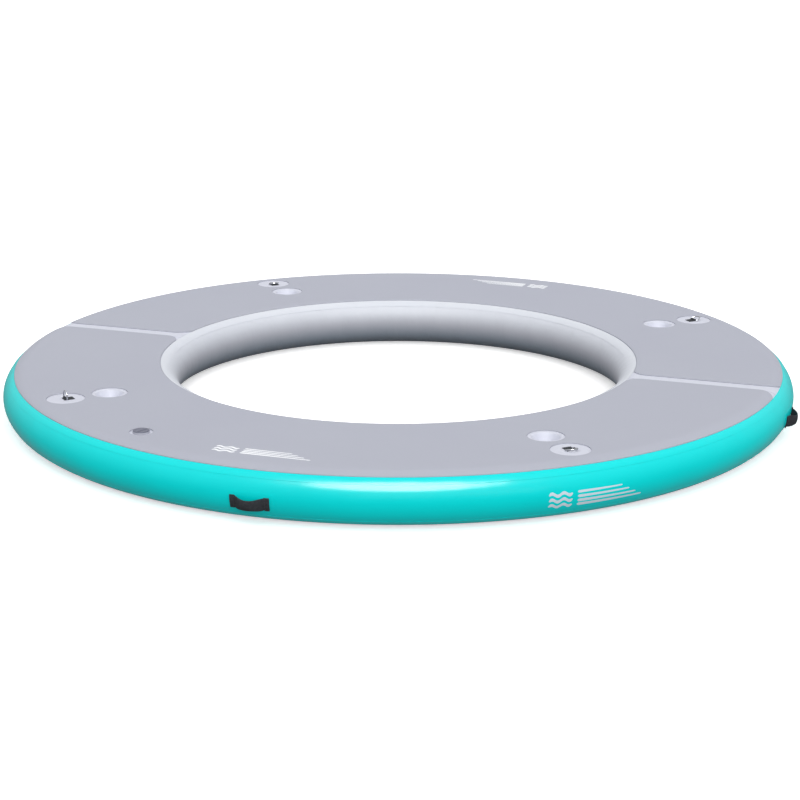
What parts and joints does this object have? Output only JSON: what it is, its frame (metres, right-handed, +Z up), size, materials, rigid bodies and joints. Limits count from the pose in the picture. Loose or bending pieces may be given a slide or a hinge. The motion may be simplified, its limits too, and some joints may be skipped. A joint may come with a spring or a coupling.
{
  "type": "inflatable ring platform",
  "caption": "Flat ring-shaped inflatable swim and tow platform with a foam deck, towing rings, drink recesses, side handles and an air valve.",
  "frame": {"origin": "centre of the ring on the plane it lies on", "axes": "+Z up out of the deck; the two joints across the deck lie along X; -Y is the front, with the valve"},
  "size_m": [3.4171, 3.4171, 0.2404],
  "materials": {
    "teal_pvc": "coated fabric, satin to glossy",
    "grey_pvc": "coated fabric, satin",
    "deck_foam": "brushed closed-cell foam, matt",
    "black_webbing": "woven, matt",
    "drop_yarn": "polyester yarn",
    "stainless_steel": "polished",
    "valve_plastic": "moulded, fine matt",
    "seal_rubber": "matt"
  },
  "bodies": {
    "platform": {"bottom_joint_tape_left": "grey_pvc", "bottom_joint_tape_right": "grey_pvc", "bottom_skin_back": "grey_pvc", "bottom_skin_front": "grey_pvc", "deck_pad_back": "deck_foam", "deck_pad_front": "deck_foam", "drink_recess_back_left": "grey_pvc", "drink_recess_back_right": "grey_pvc", "drink_recess_front_left": "grey_pvc", "drink_recess_front_right": "grey_pvc", "drop_yarns_row_1": "drop_yarn", "drop_yarns_row_2": "drop_yarn", "drop_yarns_row_3": "drop_yarn", "drop_yarns_row_4": "drop_yarn", "handle_patch_back": "teal_pvc", "handle_patch_front": "teal_pvc", "handle_patch_left": "teal_pvc", "handle_patch_right": "teal_pvc", "handle_strap_back": "black_webbing", "handle_strap_front": "black_webbing", "handle_strap_left": "black_webbing", "handle_strap_right": "black_webbing", "inner_bottom_seam_tape": "grey_pvc", "inner_top_seam_tape": "grey_pvc", "inner_wall": "grey_pvc", "outer_bottom_seam_tape": "teal_pvc", "outer_top_seam_tape": "teal_pvc", "outer_wall": "teal_pvc", "top_joint_tape_left": "grey_pvc", "top_joint_tape_right": "grey_pvc", "top_skin_back": "grey_pvc", "top_skin_front": "grey_pvc", "tow_patch_back_left": "grey_pvc", "tow_patch_back_right": "grey_pvc", "tow_patch_front_left": "grey_pvc", "tow_patch_front_right": "grey_pvc", "tow_webbing_back_left": "black_webbing", "tow_webbing_back_right": "black_webbing", "tow_webbing_front_left": "black_webbing", "tow_webbing_front_right": "black_webbing", "valve_body": "valve_plastic", "valve_gasket": "seal_rubber", "valve_nut": "valve_plastic", "valve_spring": "stainless_steel"},
    "tow_ring_back_right": {"tow_ring_back_right": "stainless_steel"},
    "tow_ring_back_left": {"tow_ring_back_left": "stainless_steel"},
    "tow_ring_front_left": {"tow_ring_front_left": "stainless_steel"},
    "tow_ring_front_right": {"tow_ring_front_right": "stainless_steel"},
    "valve_poppet": {"valve_poppet": "valve_plastic"},
    "cap_tether": {"cap_tether": "seal_rubber"},
    "valve_cap": {"valve_cap": "valve_plastic"}
  },
  "joints": [
    {"name": "tow_ring_back_right_swing", "type": "hinge", "parent": "platform", "child": "tow_ring_back_right", "pos_m": [1.07038, 1.03365, 0.2074], "axis": [0.6947, -0.7193, 0], "range_deg": [-19, 150]},
    {"name": "tow_ring_back_left_swing", "type": "hinge", "parent": "platform", "child": "tow_ring_back_left", "pos_m": [-1.03365, 1.07038, 0.2074], "axis": [0.7193, 0.6947, 0], "range_deg": [-164, 5]},
    {"name": "tow_ring_front_left_swing", "type": "hinge", "parent": "platform", "child": "tow_ring_front_left", "pos_m": [-1.02239, -1.08114, 0.2074], "axis": [-0.7266, 0.6871, 0], "range_deg": [-87, 82]},
    {"name": "tow_ring_front_right_swing", "type": "hinge", "parent": "platform", "child": "tow_ring_front_right", "pos_m": [1.0448, -1.0595, 0.2074], "axis": [-0.712, -0.7022, 0], "range_deg": [-13, 156]},
    {"name": "valve_poppet_press", "type": "slide", "parent": "platform", "child": "valve_poppet", "axis": [0, 0, -1], "range_m": [0, 0.0045], "stiffness_N_per_m": 350, "springref_m": -0.004, "deforming": ["valve_spring"]},
    {"name": "cap_flip", "type": "hinge", "parent": "platform", "child": "cap_tether", "pos_m": [-0.52182, -1.34534, 0.21], "axis": [-0.9323, 0.3616, 0], "range_deg": [0, 160]},
    {"name": "cap_turn", "type": "hinge", "parent": "cap_tether", "child": "valve_cap", "pos_m": [-0.53774, -1.38637, 0.212], "axis": [0, 0, 1], "range_deg": [0, 90]}
  ]
}
